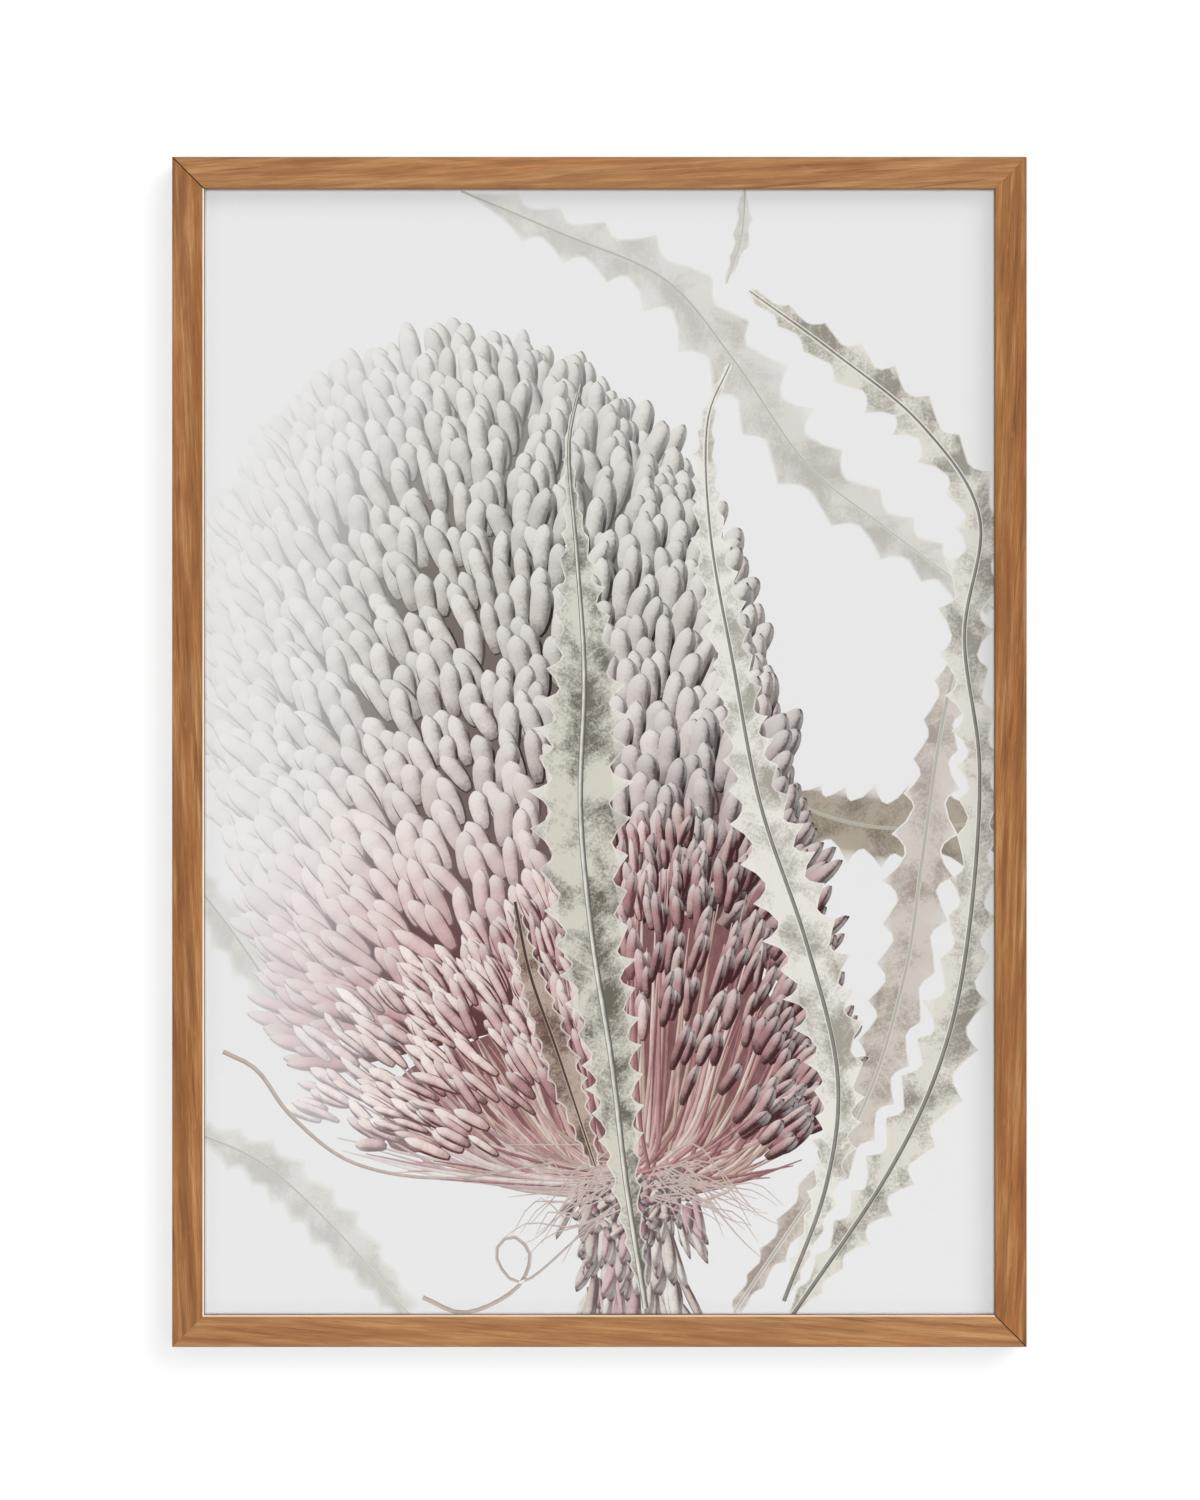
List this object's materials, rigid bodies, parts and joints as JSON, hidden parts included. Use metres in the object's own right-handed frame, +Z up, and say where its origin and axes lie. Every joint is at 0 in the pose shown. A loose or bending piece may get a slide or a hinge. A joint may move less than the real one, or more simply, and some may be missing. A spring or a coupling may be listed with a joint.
{
  "type": "picture frame",
  "caption": "Slim mitred oak picture frame with clear glazing, a full-bleed sheet, turn-button back and ring hangers.",
  "frame": {"origin": "in the wall plane, midway between the points where the two hanger rings bear on their wall hooks", "axes": "+X to the right as seen from the front, +Y back to the wall, +Z up; the picture faces -Y"},
  "size_m": [0.443, 0.0265, 0.617],
  "materials": {
    "oak": "oiled, satin, grain along each rail",
    "glazing": "clear 2 mm picture glass, low reflection",
    "spacer": "matt off-white strip",
    "print_paper": "matt art paper with a printed picture",
    "mount_board": "uncoated cream board",
    "foam_board": "white paper-faced foam board",
    "back_board": "bare medium-density fibreboard",
    "zinc_plate": "zinc-plated pressed sheet",
    "bright_steel": "bright nickel-plated wire and screws",
    "wedge_steel": "plain rolled strip",
    "bumper_rubber": "matt soft rubber"
  },
  "bodies": {
    "frame": {"rail_top": "oak", "rail_bottom": "oak", "rail_left": "oak", "rail_right": "oak", "glazing": "glazing", "spacer_top": "spacer", "spacer_bottom": "spacer", "spacer_left": "spacer", "spacer_right": "spacer", "art_print": "print_paper", "mount_board": "mount_board", "foam_board": "foam_board", "back_panel": "back_board", "button_screw_left_upper": "bright_steel", "button_screw_left_middle": "bright_steel", "button_screw_left_lower": "bright_steel", "button_screw_right_upper": "bright_steel", "button_screw_right_middle": "bright_steel", "button_screw_right_lower": "bright_steel", "button_screw_top_left": "bright_steel", "button_screw_top_right": "bright_steel", "button_screw_bottom_left": "bright_steel", "button_screw_bottom_right": "bright_steel", "corner_wedge_top_left_outer": "wedge_steel", "corner_wedge_top_left_inner": "wedge_steel", "corner_wedge_top_right_outer": "wedge_steel", "corner_wedge_top_right_inner": "wedge_steel", "corner_wedge_bottom_left_outer": "wedge_steel", "corner_wedge_bottom_left_inner": "wedge_steel", "corner_wedge_bottom_right_outer": "wedge_steel", "corner_wedge_bottom_right_inner": "wedge_steel", "hanger_strap_left": "zinc_plate", "hanger_screw_left": "bright_steel", "hanger_strap_right": "zinc_plate", "hanger_screw_right": "bright_steel", "bumper_top_left": "bumper_rubber", "bumper_top_right": "bumper_rubber", "bumper_bottom_left": "bumper_rubber", "bumper_bottom_right": "bumper_rubber"},
    "turn_button_left_upper": {"turn_button_left_upper": "zinc_plate"},
    "turn_button_left_middle": {"turn_button_left_middle": "zinc_plate"},
    "turn_button_left_lower": {"turn_button_left_lower": "zinc_plate"},
    "turn_button_right_upper": {"turn_button_right_upper": "zinc_plate"},
    "turn_button_right_middle": {"turn_button_right_middle": "zinc_plate"},
    "turn_button_right_lower": {"turn_button_right_lower": "zinc_plate"},
    "turn_button_top_left": {"turn_button_top_left": "zinc_plate"},
    "turn_button_top_right": {"turn_button_top_right": "zinc_plate"},
    "turn_button_bottom_left": {"turn_button_bottom_left": "zinc_plate"},
    "turn_button_bottom_right": {"turn_button_bottom_right": "zinc_plate"},
    "hanger_ring_left": {"hanger_ring_left": "bright_steel"},
    "hanger_ring_right": {"hanger_ring_right": "bright_steel"}
  },
  "joints": [
    {"name": "turn_button_left_upper_swing", "type": "hinge", "parent": "frame", "child": "turn_button_left_upper", "pos_m": [-0.21625, -0.0037, 0.0515], "axis": [0, 1, 0], "range_deg": [-90, 90]},
    {"name": "turn_button_left_middle_swing", "type": "hinge", "parent": "frame", "child": "turn_button_left_middle", "pos_m": [-0.21625, -0.0037, -0.1585], "axis": [0, 1, 0], "range_deg": [-90, 90]},
    {"name": "turn_button_left_lower_swing", "type": "hinge", "parent": "frame", "child": "turn_button_left_lower", "pos_m": [-0.21625, -0.0037, -0.3685], "axis": [0, 1, 0], "range_deg": [-90, 90]},
    {"name": "turn_button_right_upper_swing", "type": "hinge", "parent": "frame", "child": "turn_button_right_upper", "pos_m": [0.21625, -0.0037, 0.0515], "axis": [0, 1, 0], "range_deg": [-90, 90]},
    {"name": "turn_button_right_middle_swing", "type": "hinge", "parent": "frame", "child": "turn_button_right_middle", "pos_m": [0.21625, -0.0037, -0.1585], "axis": [0, 1, 0], "range_deg": [-90, 90]},
    {"name": "turn_button_right_lower_swing", "type": "hinge", "parent": "frame", "child": "turn_button_right_lower", "pos_m": [0.21625, -0.0037, -0.3685], "axis": [0, 1, 0], "range_deg": [-90, 90]},
    {"name": "turn_button_top_left_swing", "type": "hinge", "parent": "frame", "child": "turn_button_top_left", "pos_m": [-0.11, -0.0037, 0.14475], "axis": [0, 1, 0], "range_deg": [-90, 90]},
    {"name": "turn_button_top_right_swing", "type": "hinge", "parent": "frame", "child": "turn_button_top_right", "pos_m": [0.11, -0.0037, 0.14475], "axis": [0, 1, 0], "range_deg": [-90, 90]},
    {"name": "turn_button_bottom_left_swing", "type": "hinge", "parent": "frame", "child": "turn_button_bottom_left", "pos_m": [-0.11, -0.0037, -0.46175], "axis": [0, 1, 0], "range_deg": [-90, 90]},
    {"name": "turn_button_bottom_right_swing", "type": "hinge", "parent": "frame", "child": "turn_button_bottom_right", "pos_m": [0.11, -0.0037, -0.46175], "axis": [0, 1, 0], "range_deg": [-90, 90]},
    {"name": "hanger_ring_left_swing", "type": "hinge", "parent": "frame", "child": "hanger_ring_left", "pos_m": [-0.215, -0.0022, -0.0095], "axis": [-1, 0, 0], "range_deg": [0, 178]},
    {"name": "hanger_ring_right_swing", "type": "hinge", "parent": "frame", "child": "hanger_ring_right", "pos_m": [0.215, -0.0022, -0.0095], "axis": [-1, 0, 0], "range_deg": [0, 178]}
  ]
}
